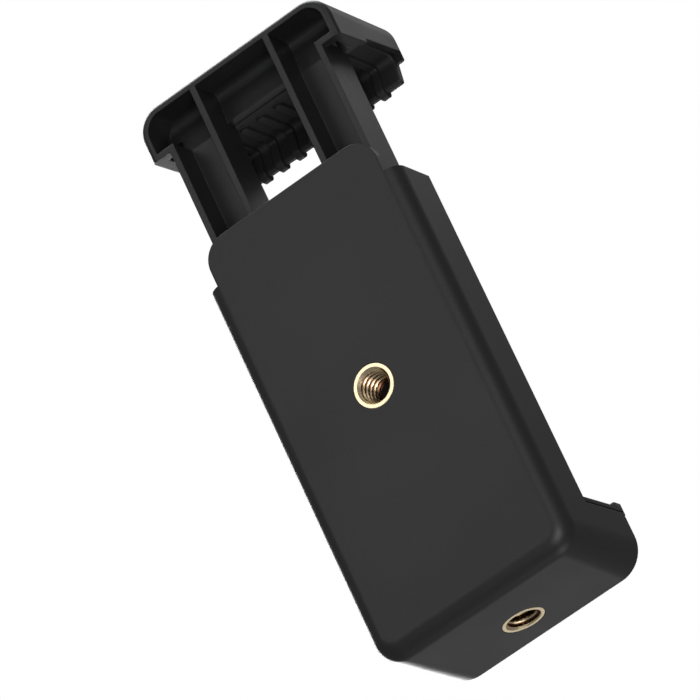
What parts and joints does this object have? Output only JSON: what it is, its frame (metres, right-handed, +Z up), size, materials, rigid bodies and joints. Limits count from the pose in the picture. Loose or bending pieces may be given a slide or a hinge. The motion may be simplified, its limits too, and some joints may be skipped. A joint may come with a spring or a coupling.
{
  "type": "tripod phone mount adapter",
  "caption": "Black plastic spring clamp that holds a phone between ribbed rubber pads, with brass tripod threads in its back and its foot.",
  "frame": {"origin": "under the middle of the footprint, on the plane of the flat bottom face that the clamp stands on", "axes": "+Z up along the jaw's slide, -Y out of the back face with the tripod thread, +Y towards the phone, +X to the right seen from the back"},
  "size_m": [0.0422, 0.0264, 0.1148],
  "materials": {
    "shell_plastic": "matt black moulded plastic with a fine even grain",
    "pad_rubber": "soft black rubber, dull",
    "insert_brass": "turned brass, bright",
    "spring_steel": "drawn steel wire and bright steel pins",
    "screw_steel": "blackened steel screws"
  },
  "bodies": {
    "housing": {"main_housing": "shell_plastic", "front_cover": "shell_plastic", "lower_pad": "pad_rubber", "back_insert": "insert_brass", "bottom_insert": "insert_brass", "left_spring": "spring_steel", "right_spring": "spring_steel", "left_housing_pin": "spring_steel", "right_housing_pin": "spring_steel", "lower_left_screw": "screw_steel", "lower_right_screw": "screw_steel", "upper_left_screw": "screw_steel", "upper_right_screw": "screw_steel"},
    "jaw": {"sliding_jaw": "shell_plastic", "upper_pad": "pad_rubber", "left_leg_pin": "spring_steel", "right_leg_pin": "spring_steel"}
  },
  "joints": [
    {"name": "jaw_slide", "type": "slide", "parent": "housing", "child": "jaw", "axis": [0, 0, 1], "range_m": [-0.0279, 0], "deforming": ["left_spring", "right_spring"]}
  ]
}
